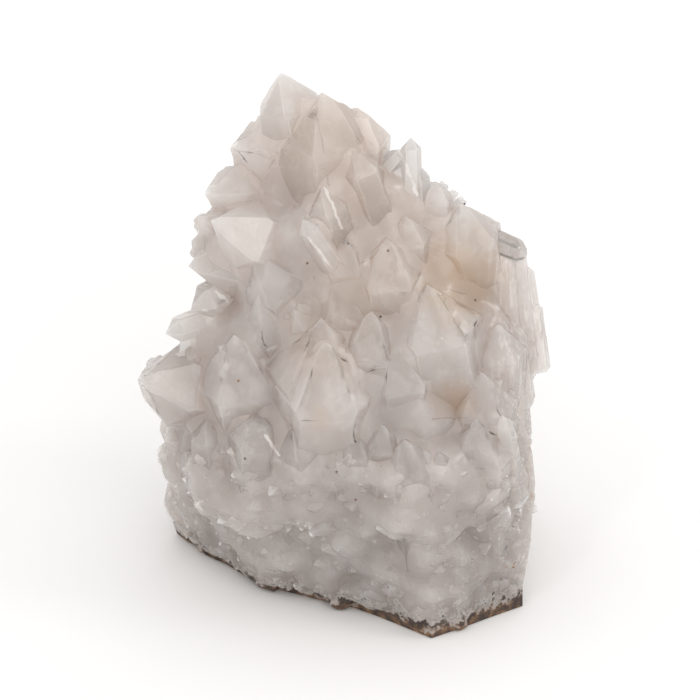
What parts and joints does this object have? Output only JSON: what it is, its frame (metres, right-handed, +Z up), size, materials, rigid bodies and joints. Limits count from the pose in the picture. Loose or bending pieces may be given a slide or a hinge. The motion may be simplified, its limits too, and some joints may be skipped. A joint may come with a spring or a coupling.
{
  "type": "quartz crystal cluster",
  "caption": "Upright cluster of milky to clear quartz crystals grown together on massive quartz, resting on its flat cut base.",
  "frame": {"origin": "on the flat cut base, under the middle of the cluster", "axes": "+Z up from the base to the tallest point, -Y out of the front, +X to the right seen from the front"},
  "size_m": [0.1031, 0.082, 0.1354],
  "materials": {
    "quartz": "translucent milky quartz with clear tips, iron-stained near the base"
  },
  "bodies": {
    "root": {"quartz_cluster": "quartz"}
  },
  "joints": []
}
